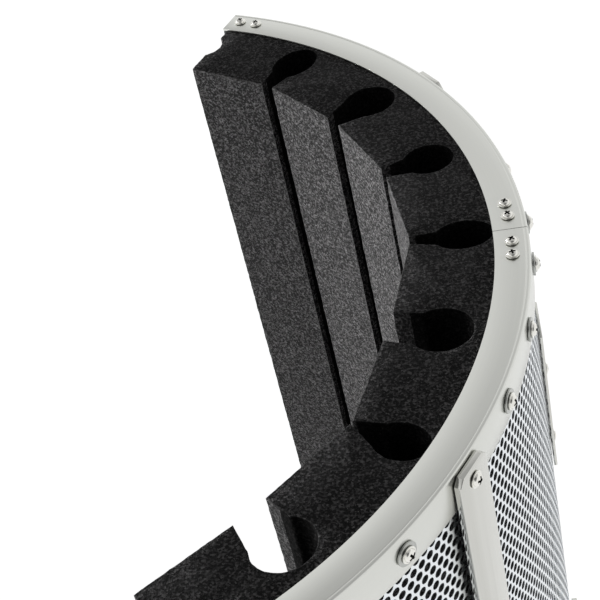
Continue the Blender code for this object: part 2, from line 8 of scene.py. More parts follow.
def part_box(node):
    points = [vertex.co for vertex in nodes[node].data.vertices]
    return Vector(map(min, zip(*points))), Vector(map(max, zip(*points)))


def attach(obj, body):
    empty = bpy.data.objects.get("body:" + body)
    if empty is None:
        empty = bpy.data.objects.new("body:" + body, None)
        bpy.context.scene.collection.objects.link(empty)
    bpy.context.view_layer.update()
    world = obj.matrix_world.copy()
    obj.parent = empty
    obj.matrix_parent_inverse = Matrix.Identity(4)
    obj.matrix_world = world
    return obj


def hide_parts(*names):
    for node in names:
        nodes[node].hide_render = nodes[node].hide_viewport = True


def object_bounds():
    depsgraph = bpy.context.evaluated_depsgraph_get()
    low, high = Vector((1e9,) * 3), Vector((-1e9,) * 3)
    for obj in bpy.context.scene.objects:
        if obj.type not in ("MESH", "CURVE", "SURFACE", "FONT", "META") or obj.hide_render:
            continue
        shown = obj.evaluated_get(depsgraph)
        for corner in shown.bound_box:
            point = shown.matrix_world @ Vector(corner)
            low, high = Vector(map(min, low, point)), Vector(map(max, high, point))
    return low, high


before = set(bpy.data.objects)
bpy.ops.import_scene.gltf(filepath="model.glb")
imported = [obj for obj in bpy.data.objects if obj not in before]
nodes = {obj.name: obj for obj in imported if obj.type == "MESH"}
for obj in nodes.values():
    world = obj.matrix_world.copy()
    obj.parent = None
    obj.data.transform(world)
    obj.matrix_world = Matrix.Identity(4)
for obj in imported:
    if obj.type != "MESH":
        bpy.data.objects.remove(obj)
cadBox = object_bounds()
mm = 0.001

shield = {
    "halfAngle": 63.0,
    "rimInner": 231.0 * mm,
    "rimWidth": 15.0 * mm,
    "bandHeight": 18.0 * mm,
    "rimSheet": 1.2 * mm,
    "perforatedSheet": 1.2 * mm,
    "frameSheet": 1.5 * mm,
    "clearance": 0.3 * mm,
}
rimOuter = shield["rimInner"] + shield["rimWidth"]
sheetOuter = rimOuter - shield["rimSheet"] - shield["clearance"]
sheetInner = sheetOuter - shield["perforatedSheet"]
frameInner = sheetInner - shield["clearance"] - shield["frameSheet"]
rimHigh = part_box("top_rim_right")[1]
shieldTop = rimHigh.z
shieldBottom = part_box("bottom_rim_right")[0].z
arcY = rimHigh.y - rimOuter  # the arc's centre, on X = 0
sides = ((-1, "left"), (1, "right"))
levels = ((True, "top"), (False, "bottom"))
print("frame loaded:", len(nodes), "nodes")


# Places along the arc
def arcPoint(radius, angle, z=0.0):
    turn = math.radians(angle)
    return Vector((radius * math.sin(turn), arcY + radius * math.cos(turn), z))


def arcAngle(length, radius):
    return math.degrees(length / radius)


def outwardPlace(radius, angle, z):
    # local Z points out from the arc and local Y points down
    turn = math.radians(angle)
    out = Vector((math.sin(turn), math.cos(turn), 0.0))
    along = Vector((math.cos(turn), -math.sin(turn), 0.0))
    axes = Matrix((along, out.cross(along), out)).transposed().to_4x4()
    return Matrix.Translation(arcPoint(radius, angle, z)) @ axes


def backPlace(x, y, z):
    # local Z points to the back
    return Matrix.Translation((x, y, z)) @ Matrix.Rotation(-math.pi / 2, 4, "X")


def upPlace(x, y, z):
    return Matrix.Translation((x, y, z))


def downPlace(x, y, z):
    return upPlace(x, y, z) @ Matrix.Rotation(math.pi, 4, "X")


# Meshes
def vertsOf(made):
    return [v for v in made["geom"] if isinstance(v, bmesh.types.BMVert)]


def edgesOf(made):
    return [e for e in made["geom"] if isinstance(e, bmesh.types.BMEdge)]


def linkMesh(name, bm, merge=1e-6):
    bmesh.ops.remove_doubles(bm, verts=bm.verts, dist=merge)
    bmesh.ops.recalc_face_normals(bm, faces=bm.faces)
    mesh = bpy.data.meshes.new(name)
    bm.to_mesh(mesh)
    bm.free()
    thing = bpy.data.objects.new(name, mesh)
    bpy.context.scene.collection.objects.link(thing)
    return thing


def dress(piece, finish, body="shield", replaced=(), sharp=32):
    # finish, smooth shading, the body that carries the piece and the nodes that it stands for
    material, slot = finish
    if not piece.data.materials:
        piece.data.materials.append(material)
    piece.data.shade_smooth()
    piece.data.set_sharp_from_angle(angle=math.radians(sharp))
    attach(piece, body)
    if replaced:
        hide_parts(*replaced)
    return piece


def carve(piece, cutterMesh, inner=None):
    # cuts a closed shape out for good, its walls in a material of their own if one is given
    cutter = linkMesh("cutter", cutterMesh)
    modifier = piece.modifiers.new("carve", "BOOLEAN")
    modifier.operation = "DIFFERENCE"
    modifier.solver = "EXACT"
    modifier.object = cutter
    if inner:
        cutter.data.materials.append(inner)
        modifier.material_mode = "TRANSFER"
    graph = bpy.context.evaluated_depsgraph_get()
    carved = bpy.data.meshes.new_from_object(piece.evaluated_get(graph))
    piece.modifiers.clear()
    old = piece.data
    piece.data = carved
    bpy.data.meshes.remove(old)
    bpy.data.meshes.remove(cutter.data)  # the cutter goes with its mesh


def addFace(bm, points):
    return bm.faces.new([bm.verts.new(p) for p in points])


def lift(bm, face, vector):
    raised = bmesh.ops.extrude_face_region(bm, geom=[face])
    bmesh.ops.translate(bm, verts=vertsOf(raised), vec=vector)


def roundEdges(bm, edges, width, segments=2):
    bmesh.ops.bevel(
        bm, geom=edges, offset=width, offset_type="OFFSET", segments=segments, profile=0.5,
        affect="EDGES", material=-1, clamp_overlap=True,
    )


def roundCorner(bm, vert, radius, segments):
    # a fillet in a flat outline
    bmesh.ops.bevel(
        bm, geom=[vert], offset=radius, offset_type="OFFSET", segments=segments, profile=0.5,
        affect="VERTICES", material=-1,
    )


def sharpEdges(bm, least=30.0):
    return [e for e in bm.edges if e.is_manifold and e.calc_face_angle(0.0) > math.radians(least)]


def sweepProfile(bm, corners, start, end, step):
    # a (radius, z, fillet) outline carried along the arc
    face = addFace(bm, [arcPoint(radius, start, z) for radius, z, _ in corners])
    for vert, (_, _, fillet) in zip(list(face.verts), corners):
        roundCorner(bm, vert, fillet, 5 if fillet > 0.5 * mm else 2)
    steps = math.ceil(abs(end - start) / step)
    bmesh.ops.spin(
        bm, geom=bm.faces[:], cent=(0.0, arcY, 0.0), axis=(0.0, 0.0, 1.0),
        angle=-math.radians(end - start), steps=steps, use_merge=False, use_duplicate=False,
    )


def turn(bm, profile, sidesRound, place=Matrix(), closed=False):
    # a (radius, height) profile turned full circle about local Z
    before = set(bm.verts)
    points = [bm.verts.new((r, 0.0, h)) for r, h in profile]
    pairs = list(zip(points, points[1:]))
    if closed:
        pairs.append((points[-1], points[0]))
    edges = [bm.edges.new(pair) for pair in pairs]
    bmesh.ops.spin(
        bm, geom=points + edges, cent=(0.0, 0.0, 0.0), axis=(0.0, 0.0, 1.0),
        angle=2 * math.pi, steps=sidesRound, use_merge=True, use_duplicate=False,
    )
    made = [v for v in bm.verts if v not in before]
    bmesh.ops.transform(bm, matrix=place, verts=made)


def plug(bm, radius, low, high, place, sidesRound=24):
    turn(bm, ((0.0, low), (radius, low), (radius, high), (0.0, high)), sidesRound, place)


def layArcMap(piece):
    # a UV map in metres, along the arc and then across the strip, for a grain that follows the bend
    mesh = piece.data
    layer = mesh.uv_layers.new(name="arc")
    for loop in mesh.loops:
        x, y, z = mesh.vertices[loop.vertex_index].co
        layer.data[loop.index].uv = (
            math.atan2(x, y - arcY) * rimOuter, math.hypot(x, y - arcY) - z,
        )


# Materials
def linear(hexColour):
    parts = [int(hexColour[i:i + 2], 16) / 255 for i in (1, 3, 5)]
    return (*[c / 12.92 if c <= 0.04045 else ((c + 0.055) / 1.055) ** 2.4 for c in parts], 1.0)


def addNode(tree, kind, inputs=None, **settings):
    # a node with its settings, and each input set to a value or linked to a socket
    node = tree.nodes.new("ShaderNode" + kind)
    for name, value in settings.items():
        setattr(node, name, value)
    for name, value in (inputs or {}).items():
        if isinstance(value, bpy.types.NodeSocket):
            tree.links.new(value, node.inputs[name])
        else:
            node.inputs[name].default_value = value
    return node


def startMaterial(name, values):
    material = bpy.data.materials.new(name)
    material.use_nodes = True
    shader = material.node_tree.nodes["Principled BSDF"]
    for socket, value in values.items():
        shader.inputs[socket].default_value = value
    return material, material.node_tree, shader


def blendColours(tree, share, low, high):
    # a Mix node's colour inputs are its sockets 6 and 7, and its colour output is 2
    mix = addNode(tree, "Mix", {0: share, 6: linear(low), 7: linear(high)}, data_type="RGBA")
    return mix.outputs[2]


def spread(tree, value, low, high):
    # a 0 to 1 value carried to a range
    return addNode(tree, "MapRange", {"Value": value, "To Min": low, "To Max": high}).outputs[0]


def brushedSteel(name, look, along):
    # stainless strip, ground along its length: warm grey, an even sheen and a faint run of fine lines
    material, tree, shader = startMaterial(name, {"Metallic": 1.0})
    fine, run = 1 / look["lineWidth"], 1 / look["lineLength"]
    if along == "arc":
        coords = addNode(tree, "UVMap", uv_map="arc").outputs["UV"]
        scale = (run, fine, fine)
    else:
        coords = addNode(tree, "TexCoord").outputs["Object"]
        scale = (fine, run, fine) if along == "y" else (fine, fine, run)
    stretched = addNode(tree, "Mapping", {"Vector": coords, "Scale": scale}).outputs[0]
    lines = addNode(tree, "TexNoise", {"Vector": stretched, "Scale": 1.0, "Detail": 3.0}).outputs[0]
    place = addNode(tree, "TexCoord").outputs["Object"]
    cloud = addNode(tree, "TexNoise", {"Vector": place, "Scale": 1 / look["cloud"], "Detail": 2.0})
    share = addNode(tree, "Math", {0: lines, 1: cloud.outputs[0]}, operation="MULTIPLY").outputs[0]
    tree.links.new(blendColours(tree, share, look["dark"], look["light"]), shader.inputs["Base Color"])
    rough = spread(tree, lines, look["smooth"], look["rough"])
    tree.links.new(rough, shader.inputs["Roughness"])
    bump = addNode(tree, "Bump", {"Height": lines, "Strength": look["bump"], "Distance": 0.02 * mm})
    tree.links.new(bump.outputs[0], shader.inputs["Normal"])
    return material


def rolledSheet(name, look):
    # bright rolled sheet and plated steel: near mirror, slightly clouded by handling
    material, tree, shader = startMaterial(name, {"Metallic": 1.0})
    place = addNode(tree, "TexCoord").outputs["Object"]
    cloud = addNode(tree, "TexNoise", {"Vector": place, "Scale": 1 / look["cloud"], "Detail": 4.0})
    share = cloud.outputs[0]
    tree.links.new(blendColours(tree, share, look["dark"], look["light"]), shader.inputs["Base Color"])
    tree.links.new(spread(tree, share, look["smooth"], look["rough"]), shader.inputs["Roughness"])
    bump = addNode(tree, "Bump", {"Height": share, "Strength": look["bump"], "Distance": 0.02 * mm})
    tree.links.new(bump.outputs[0], shader.inputs["Normal"])
    return material


def mouldedNylon(look):
    # glass-filled nylon, moulded with a fine spark texture: dull black with a broad sheen
    material, tree, shader = startMaterial("moulded black nylon", {"IOR": 1.53})
    place = addNode(tree, "TexCoord").outputs["Object"]
    spark = addNode(tree, "TexNoise", {"Vector": place, "Scale": 1 / look["grit"], "Detail": 3.0})
    share = spark.outputs[0]
    tree.links.new(blendColours(tree, share, look["dark"], look["light"]), shader.inputs["Base Color"])
    tree.links.new(spread(tree, share, look["smooth"], look["rough"]), shader.inputs["Roughness"])
    bump = addNode(tree, "Bump", {"Height": share, "Strength": look["bump"], "Distance": 0.1 * mm})
    tree.links.new(bump.outputs[0], shader.inputs["Normal"])
    return material


def openCellFoam(name, look):
    # knife-cut polyurethane foam: matt charcoal, its cell walls catching light over dark pores
    material, tree, shader = startMaterial(name, {
        "Roughness": 0.95, "Specular IOR Level": look["specular"], "Sheen Weight": look["sheen"],
        "Sheen Roughness": 0.6, "Sheen Tint": linear(look["sheenTint"]),
    })
    place = addNode(tree, "TexCoord").outputs["Object"]
    # real cells are about 0.6 mm, drawn a little larger so that they show
    cells = addNode(tree, "TexVoronoi", {"Vector": place, "Scale": 1 / look["cell"]}).outputs
    clouds = addNode(tree, "TexNoise", {"Vector": place, "Scale": 1 / look["cloud"], "Detail": 3.0})
    both = {0: cells["Color"], 1: clouds.outputs[0]}
    specks = addNode(tree, "Math", both, operation="MULTIPLY").outputs[0]
    dimmest, palest = look["specks"]
    share = addNode(tree, "MapRange", {"Value": specks, "From Min": dimmest, "From Max": palest})
    cut = blendColours(tree, share.outputs[0], look["pore"], look["wall"])
    # painted highlight: a thin paler line along the cut edges, for light scattered through their fuzzy
    # rims
    eased = addNode(tree, "Bevel", {"Radius": look["edgeGlowRadius"]}, samples=4).outputs[0]
    flat = addNode(tree, "NewGeometry").outputs["True Normal"]
    likeness = addNode(tree, "VectorMath", {0: eased, 1: flat}, operation="DOT_PRODUCT")
    glowStart, glowFull = look["edgeGlowTurn"]
    edgeGlow = addNode(tree, "MapRange", {
        "Value": likeness.outputs["Value"], "From Min": glowStart, "From Max": glowFull,
        "To Max": look["edgeGlowShare"],
    }).outputs[0]
    colour = addNode(tree, "Mix", {0: edgeGlow, 6: cut, 7: linear(look["edgeGlow"])}, data_type="RGBA")
    tree.links.new(colour.outputs[2], shader.inputs["Base Color"])
    bump = addNode(tree, "Bump", {
        "Height": cells["Distance"], "Strength": look["bump"], "Distance": look["poreDepth"],
    })
    tree.links.new(bump.outputs[0], shader.inputs["Normal"])
    return material


foamLook = {
    "wall": "#989697", "pore": "#080808", "cell": 0.75 * mm, "cloud": 1.6 * mm,
    "specks": (0.20, 0.52),  # which part of the pattern goes from pore to wall
    "bump": 0.35, "poreDepth": 0.8 * mm,
    "specular": 0.24, "sheen": 0.06, "sheenTint": "#BDBDBD",
    # painted highlight along the cut edges: its colour, reach and strength
    "edgeGlow": "#9C9C9C", "edgeGlowRadius": 0.9 * mm, "edgeGlowShare": 0.6,
    "edgeGlowTurn": (0.98, 0.75),  # the cosines of the edge's turn where the painted highlight starts and is full
}
steel = {
    "light": "#DEDFDA", "dark": "#D4D5D0", "smooth": 0.26, "rough": 0.33, "bump": 0.05,
    "lineWidth": 0.5 * mm, "lineLength": 60 * mm, "cloud": 70 * mm,
}
bright = {
    "light": "#D6D6D1", "dark": "#C6C6C1", "smooth": 0.12, "rough": 0.20, "bump": 0.05,
    "lineWidth": 0.6 * mm, "lineLength": 80 * mm, "cloud": 50 * mm,
}
finishes = {
    "rim": (brushedSteel("satin stainless strip", steel, "arc"), "satin_steel"),
    "plate": (brushedSteel("satin stainless plate", steel, "z"), "satin_steel"),
    "rail": (brushedSteel("satin stainless bar", steel, "y"), "satin_steel"),
    "strap": (brushedSteel("polished stainless flat", bright, "z"), "polished_steel"),
    "sheet": (rolledSheet("rolled perforated sheet", {
        "light": "#F1F4F6", "dark": "#DDE2E6", "smooth": 0.22, "rough": 0.34, "bump": 0.05,
        "cloud": 30 * mm,
    }), "perforated_sheet"),
    "screw": (rolledSheet("nickel-plated screw steel", {
        "light": "#F2F1EC", "dark": "#DAD9D2", "smooth": 0.10, "rough": 0.22, "bump": 0.1,
        "cloud": 2 * mm,
    }), "zinc_steel"),
    "zinc": (rolledSheet("black zinc-plated steel", {
        "light": "#6A6C6B", "dark": "#484B4C", "smooth": 0.34, "rough": 0.50, "bump": 0.2,
        "cloud": 6 * mm,
    }), "frame_steel"),
    "washer": (rolledSheet("plain washer steel", {
        "light": "#C3C4C0", "dark": "#A4A6A3", "smooth": 0.22, "rough": 0.36, "bump": 0.2,
        "cloud": 3 * mm,
    }), "zinc_steel"),
    "nylon": (mouldedNylon({
        "light": "#1C1C1D", "dark": "#0E0E0F", "smooth": 0.42, "rough": 0.60, "bump": 0.5,
        "grit": 0.4 * mm,
    }), "black_plastic"),
    "foam": (openCellFoam("open-cell polyurethane foam", foamLook), "foam"),
}
# painted shade: inside the slots the cut walls are drawn nearly black, for the shade that falls in them
slotShadeFoam = openCellFoam("polyurethane foam with painted slot shade", {
    **foamLook, "wall": "#363535", "edgeGlowShare": 0.2, "specular": 0.04, "sheen": 0.0,
})
# painted shade: the walls of the screws' cross recesses are drawn in dark steel
recessSteel = rolledSheet("shaded recess steel", {
    "light": "#4A4A47", "dark": "#242422", "smooth": 0.35, "rough": 0.5, "bump": 0.1, "cloud": 1 * mm,
})
print("materials made:", len(finishes) + len((slotShadeFoam, recessSteel)))

# Screws: head radius, head height, shank radius, and the cross's width, slot and depth
screwKinds = {
    "rim": (3.0 * mm, 2.0 * mm, 1.50 * mm, 3.6 * mm, 0.95 * mm, 1.3 * mm),
    "band": (3.5 * mm, 2.2 * mm, 1.75 * mm, 4.4 * mm, 1.10 * mm, 1.5 * mm),
    "seamPlate": (2.8 * mm, 1.2 * mm, 1.75 * mm, 3.4 * mm, 0.80 * mm, 0.9 * mm),
    "bracket": (4.7 * mm, 3.0 * mm, 2.50 * mm, 5.0 * mm, 1.1 * mm, 2.0 * mm),
}
screwPlaces = {
    "seamInset": 8.8 * mm,
    "seamPitch": 8.8 * mm,
    "endInset": 6.8 * mm,
    "endPitch": 9.8 * mm,
    "flangeInset": 7.5 * mm,
    "bandDrop": 9.1 * mm,
    "bandSeamInset": 14.1 * mm,
    "bandEndInset": 12.8 * mm,
    "bandCount": 7,
    "strapIndex": 3,
    "washerRadius": 5.0 * mm,
    "washerThickness": 0.9 * mm,
    "washerPlay": 0.15 * mm,
    "washerEdge": 0.15 * mm,
    "headSides": 32,
    "dome": 0.79,  # share of the head's radius
    "domeSteps": 7,
    "collar": 0.28,  # share of the head's height
    "ease": 0.12 * mm,
    "crossTaper": (0.45, 0.6),  # the cross's width and slot at its floor, as shares
    "proud": 0.2 * mm,  # how far the cross's cutter stands above the head
    "tip": 1.0 * mm,
    "point": (0.4 * mm, 0.6),  # the length of the shank's taper, and its end's share
    # no two heads next to each other stop at the same turn, in radians
    "rimTwist": 0.7,
    "bandTwist": 0.9,
    "backTwist": (0.5, 9.0),  # at the ground, and more for each metre up
    "footTwist": 0.4,
}


def flangeScrewPlaces(side, top):
    radius = shield["rimInner"] + screwPlaces["flangeInset"]
    lengths = [screwPlaces["seamInset"] + i * screwPlaces["seamPitch"] for i in range(2)]
    angles = [arcAngle(length, radius) for length in lengths]
    lengths = [screwPlaces["endInset"] + i * screwPlaces["endPitch"] for i in range(2)]
    angles += [shield["halfAngle"] - arcAngle(length, radius) for length in lengths]
    place = upPlace if top else downPlace
    level = shieldTop + shield["clearance"] if top else shieldBottom - shield["clearance"]
    return [place(*arcPoint(radius, side * angle).xy, level) for angle in angles]


def bandScrewAngles(side):
    first = arcAngle(screwPlaces["bandSeamInset"], rimOuter)
    last = shield["halfAngle"] - arcAngle(screwPlaces["bandEndInset"], rimOuter)
    pitch = (last - first) / (screwPlaces["bandCount"] - 1)
    return [side * (first + i * pitch) for i in range(screwPlaces["bandCount"])]


def bandLevel(top):
    drop = screwPlaces["bandDrop"]
    return shieldTop - drop if top else shieldBottom + drop


def makeScrewMesh(kind, reach):
    # a dome on a thin collar, with a cross recess, its seat on z = 0
    headRadius, headHeight, shankRadius, crossWidth, crossSlot, crossDepth = screwKinds[kind]
    dome, collar = screwPlaces["dome"] * headRadius, screwPlaces["collar"] * headHeight
    steps, ease = screwPlaces["domeSteps"], screwPlaces["ease"]
    taper, end = screwPlaces["point"]
    profile = [
        (dome * math.sin(a), collar + (headHeight - collar) * math.cos(a))
        for a in [math.pi / 2 * i / steps for i in range(steps + 1)]
    ]
    profile += [(headRadius - ease, collar), (headRadius, collar - ease), (headRadius, ease)]
    profile += [(headRadius - ease, 0.0), (shankRadius, 0.0)]
    profile += [(shankRadius, taper - reach), (end * shankRadius, -reach), (0.0, -reach)]
    bm = bmesh.new()
    turn(bm, profile, screwPlaces["headSides"])
    screw = linkMesh("screw_master", bm)
    screw.data.materials.append(finishes["screw"][0])
    narrowWidth, narrowSlot = screwPlaces["crossTaper"]
    for turned in (0.0, math.pi / 2):
        slot = bmesh.new()
        bmesh.ops.create_cube(slot, size=1.0)
        for v in slot.verts:
            above = v.co.z > 0
            v.co.x *= crossWidth if above else narrowWidth * crossWidth
            v.co.y *= crossSlot if above else narrowSlot * crossSlot
            v.co.z = headHeight + screwPlaces["proud"] if above else headHeight - crossDepth
        bmesh.ops.rotate(slot, verts=slot.verts, matrix=Matrix.Rotation(turned, 3, "Z"))
        carve(screw, slot, recessSteel)
    mesh = screw.data
    bpy.data.objects.remove(screw)
    return mesh


def putCopy(name, master, place, finish, replaced=(), twist=0.0):
    mesh = master.copy()
    mesh.transform(place @ Matrix.Rotation(twist, 4, "Z"))
    piece = bpy.data.objects.new(name, mesh)
    bpy.context.scene.collection.objects.link(piece)
    return dress(piece, finish, replaced=replaced)


def makeWasherMesh():
    high, outer = screwPlaces["washerThickness"], screwPlaces["washerRadius"]
    inner, edge = screwKinds["band"][2] + screwPlaces["washerPlay"], screwPlaces["washerEdge"]
    profile = (
        (inner, 0.0), (outer - edge, 0.0), (outer, edge), (outer, high - edge),
        (outer - edge, high), (inner, high),
    )
    bm = bmesh.new()
    turn(bm, profile, screwPlaces["headSides"], closed=True)
    washer = linkMesh("washer_master", bm)
    mesh = washer.data
    bpy.data.objects.remove(washer)
    return mesh


def makeShieldScrews():
    rimSeat = 2 * shield["clearance"] + shield["rimSheet"] + shield["frameSheet"]
    rimMesh = makeScrewMesh("rim", rimSeat + screwPlaces["tip"])
    washed = rimOuter + shield["clearance"] + screwPlaces["washerThickness"]
    strapped = rimOuter + strap["thickness"] + 2 * shield["clearance"]
    washedMesh = makeScrewMesh("band", washed - frameInner)
    strappedMesh = makeScrewMesh("band", strapped - frameInner)
    washerMesh = makeWasherMesh()
    for side, word in sides:
        for top, level in levels:
            for index, place in enumerate(flangeScrewPlaces(side, top)):
                name = f"{level}_rim_screw_{word}_{index + 1}"
                shown = (name,) if name in nodes else ()
                twist = screwPlaces["rimTwist"] * index + side
                putCopy("cross_" + name, rimMesh, place, finishes["screw"], shown, twist)
            for index, angle in enumerate(bandScrewAngles(side)):
                if index == 0 and not top:
                    continue  # the bracket's own screws are here
                onStrap = index == screwPlaces["strapIndex"]
                seat = strapped if onStrap else washed
                name = f"{level}_band_screw_{word}_{index + 1}"
                if onStrap:
                    name = f"{level}_strap_screw_{word}"
                shown = (name,) if name in nodes else ()
                place = outwardPlace(seat, angle, bandLevel(top))
                mesh = strappedMesh if onStrap else washedMesh
                twist = screwPlaces["bandTwist"] * index
                putCopy("cross_" + name, mesh, place, finishes["screw"], shown, twist)
                if not onStrap:
                    under = outwardPlace(rimOuter + shield["clearance"] / 2, angle, bandLevel(top))
                    ring = f"{level}_band_washer_{word}_{index + 1}"
                    putCopy(ring, washerMesh, under, finishes["washer"])


def nodeCentre(name):
    low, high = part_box(name)
    return (low + high) / 2


def makeBackScrews():
    # the seam plate's and the bracket's screws stand where their nodes do
    for name in sorted(nodes):
        low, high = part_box(name)
        middle = nodeCentre(name)
        if name.startswith(("seam_plate_screw", "bracket_screw")):
            kind = "seamPlate" if name.startswith("seam") else "bracket"
            seat = high.y - screwKinds[kind][1]
            mesh = makeScrewMesh(kind, seat - low.y)
            place = backPlace(middle.x, seat, middle.z)
            start, rise = screwPlaces["backTwist"]
            twist = start + middle.z * rise
            putCopy("cross_" + name, mesh, place, finishes["screw"], (name,), twist)
        elif name.startswith("foot_screw"):
            seat = low.z + screwKinds["bracket"][1]
            mesh = makeScrewMesh("bracket", high.z - seat)
            place = downPlace(middle.x, middle.y, seat)
            twist = screwPlaces["footTwist"]
            putCopy("cross_" + name, mesh, place, finishes["screw"], (name,), twist)


# Rims, each half one strip bent to an L
rim = {
    "bend": 1.0 * mm, "insideBend": 0.3 * mm, "edge": 0.2 * mm, "step": 1.5,
    # the press leaves a fine line along the bend
    "line": 1.9 * mm, "lineWidth": 0.7 * mm, "lineDepth": 0.18 * mm, "lineEdge": 0.05 * mm,
}


def screwHoles(places, shank, below, above):
    bm = bmesh.new()
    for place in places:
        plug(bm, shank + shield["clearance"], -below, above, place)
    return bm


def makeRims():
    bandInner = rimOuter - shield["rimSheet"]
    seam = arcAngle(shield["clearance"] / 2, rimOuter)
    for top, level in levels:
        face, inward = (shieldTop, -1) if top else (shieldBottom, 1)
        hem, under = face + inward * shield["bandHeight"], face + inward * shield["rimSheet"]
        line = rimOuter - rim["line"]
        corners = (
            (shield["rimInner"], face, rim["edge"]),
            (line - rim["lineWidth"] / 2, face, rim["lineEdge"]),
            (line, face + inward * rim["lineDepth"], rim["lineEdge"]),
            (line + rim["lineWidth"] / 2, face, rim["lineEdge"]),
            (rimOuter, face, rim["bend"]),
            (rimOuter, hem, rim["edge"]),
            (bandInner, hem, rim["edge"]),
            (bandInner, under, rim["insideBend"]),
            (shield["rimInner"], under, rim["edge"]),
        )
        for side, word in sides:
            bm = bmesh.new()
            sweepProfile(bm, corners, side * seam, side * shield["halfAngle"], rim["step"])
            piece = linkMesh(f"bent_rim_{level}_{word}", bm)
            carve(piece, screwHoles(flangeScrewPlaces(side, top), screwKinds["rim"][2], 5 * mm, 2 * mm))
            places = [outwardPlace(rimOuter, angle, bandLevel(top)) for angle in bandScrewAngles(side)]
            carve(piece, screwHoles(places, screwKinds["band"][2], 3 * mm, 2 * mm))
            layArcMap(piece)
            dress(piece, finishes["rim"], replaced=(f"{level}_rim_{word}",))


# Perforated sheet: round holes in a triangular pattern
perforation = {
    "pitch": 5.0 * mm,
    "holeRadius": 1.95 * mm,
    "holeSides": 10,  # keeps each half under 200,000 triangles
    "thickness": 0.5 * mm,  # its rims are rounded off, so the sheet looks this thin at the holes
    "firstRow": 20.0 * mm,  # from the rim's top to the first row that shows
}


def repeat(bm, count, step):
    # doubles what is there until it stands at least count times
    have = 1
    while have < count:
        made = bmesh.ops.duplicate(bm, geom=bm.verts[:] + bm.edges[:] + bm.faces[:])
        bmesh.ops.translate(bm, verts=vertsOf(made), vec=Vector(step) * have)
        have *= 2


def cutBeyond(bm, point, direction):
    geom = bm.verts[:] + bm.edges[:] + bm.faces[:]
    bmesh.ops.bisect_plane(bm, geom=geom, plane_co=point, plane_no=direction, clear_outer=True)


def growEdge(bm, level, target):
    # carries the straight edge at one height on to another as a plain strip
    edges = [e for e in bm.edges if all(abs(v.co.y - level) < 1e-6 for v in e.verts)]
    made = bmesh.ops.extrude_edge_only(bm, edges=edges)
    for v in vertsOf(made):
        v.co.y = target


def makePerforatedSheets():
    pitch = perforation["pitch"]
    row = pitch * math.sqrt(3) / 2
    margin = shield["rimSheet"] + shield["clearance"]
    low, high = shieldBottom + margin, shieldTop - margin
    firstRow = shieldTop - perforation["firstRow"]
    highCut = firstRow + 1.5 * row  # halfway between two rows, under the band
    rows = math.ceil((highCut - shieldBottom - shield["bandHeight"]) / row)
    lowCut = highCut - rows * row
    length = math.radians(shield["halfAngle"]) * sheetOuter
    for side, word in sides:
        bm = bmesh.new()
        bmesh.ops.create_circle(bm, segments=6, radius=pitch / math.sqrt(3))
        bmesh.ops.create_circle(
            bm, segments=perforation["holeSides"], radius=perforation["holeRadius"]
        )
        bmesh.ops.bridge_loops(bm, edges=bm.edges[:])
        made = bmesh.ops.duplicate(bm, geom=bm.verts[:] + bm.edges[:] + bm.faces[:])
        bmesh.ops.translate(bm, verts=vertsOf(made), vec=(pitch / 2, row, 0.0))
        repeat(bm, length / pitch + 2, (pitch, 0.0, 0.0))
        repeat(bm, rows / 2 + 2, (0.0, 2 * row, 0.0))
        count = math.ceil((firstRow - lowCut) / row) + 1
        start = firstRow - 2 * math.ceil(count / 2) * row
        bmesh.ops.translate(bm, verts=bm.verts, vec=(-pitch, start, 0.0))
        bmesh.ops.remove_doubles(bm, verts=bm.verts, dist=0.02 * mm)
        cutBeyond(bm, (shield["clearance"] / 2, 0.0, 0.0), (-1.0, 0.0, 0.0))
        cutBeyond(bm, (length, 0.0, 0.0), (1.0, 0.0, 0.0))
        cutBeyond(bm, (0.0, highCut, 0.0), (0.0, 1.0, 0.0))
        cutBeyond(bm, (0.0, lowCut, 0.0), (0.0, -1.0, 0.0))
        growEdge(bm, highCut, high)
        growEdge(bm, lowCut, low)
        bmesh.ops.recalc_face_normals(bm, faces=bm.faces)
        bmesh.ops.solidify(bm, geom=bm.faces[:], thickness=perforation["thickness"])
        front = max(v.co.z for v in bm.verts)
        for v in bm.verts:
            x, y, z = v.co
            v.co = arcPoint(sheetOuter + z - front, side * math.degrees(x / sheetOuter), y)
        piece = linkMesh("perforated_sheet_" + word, bm)
        dress(piece, finishes["sheet"], replaced=("perforated_shell_" + word,), sharp=40)
        print("perforated sheet", word, "faces", len(piece.data.polygons))


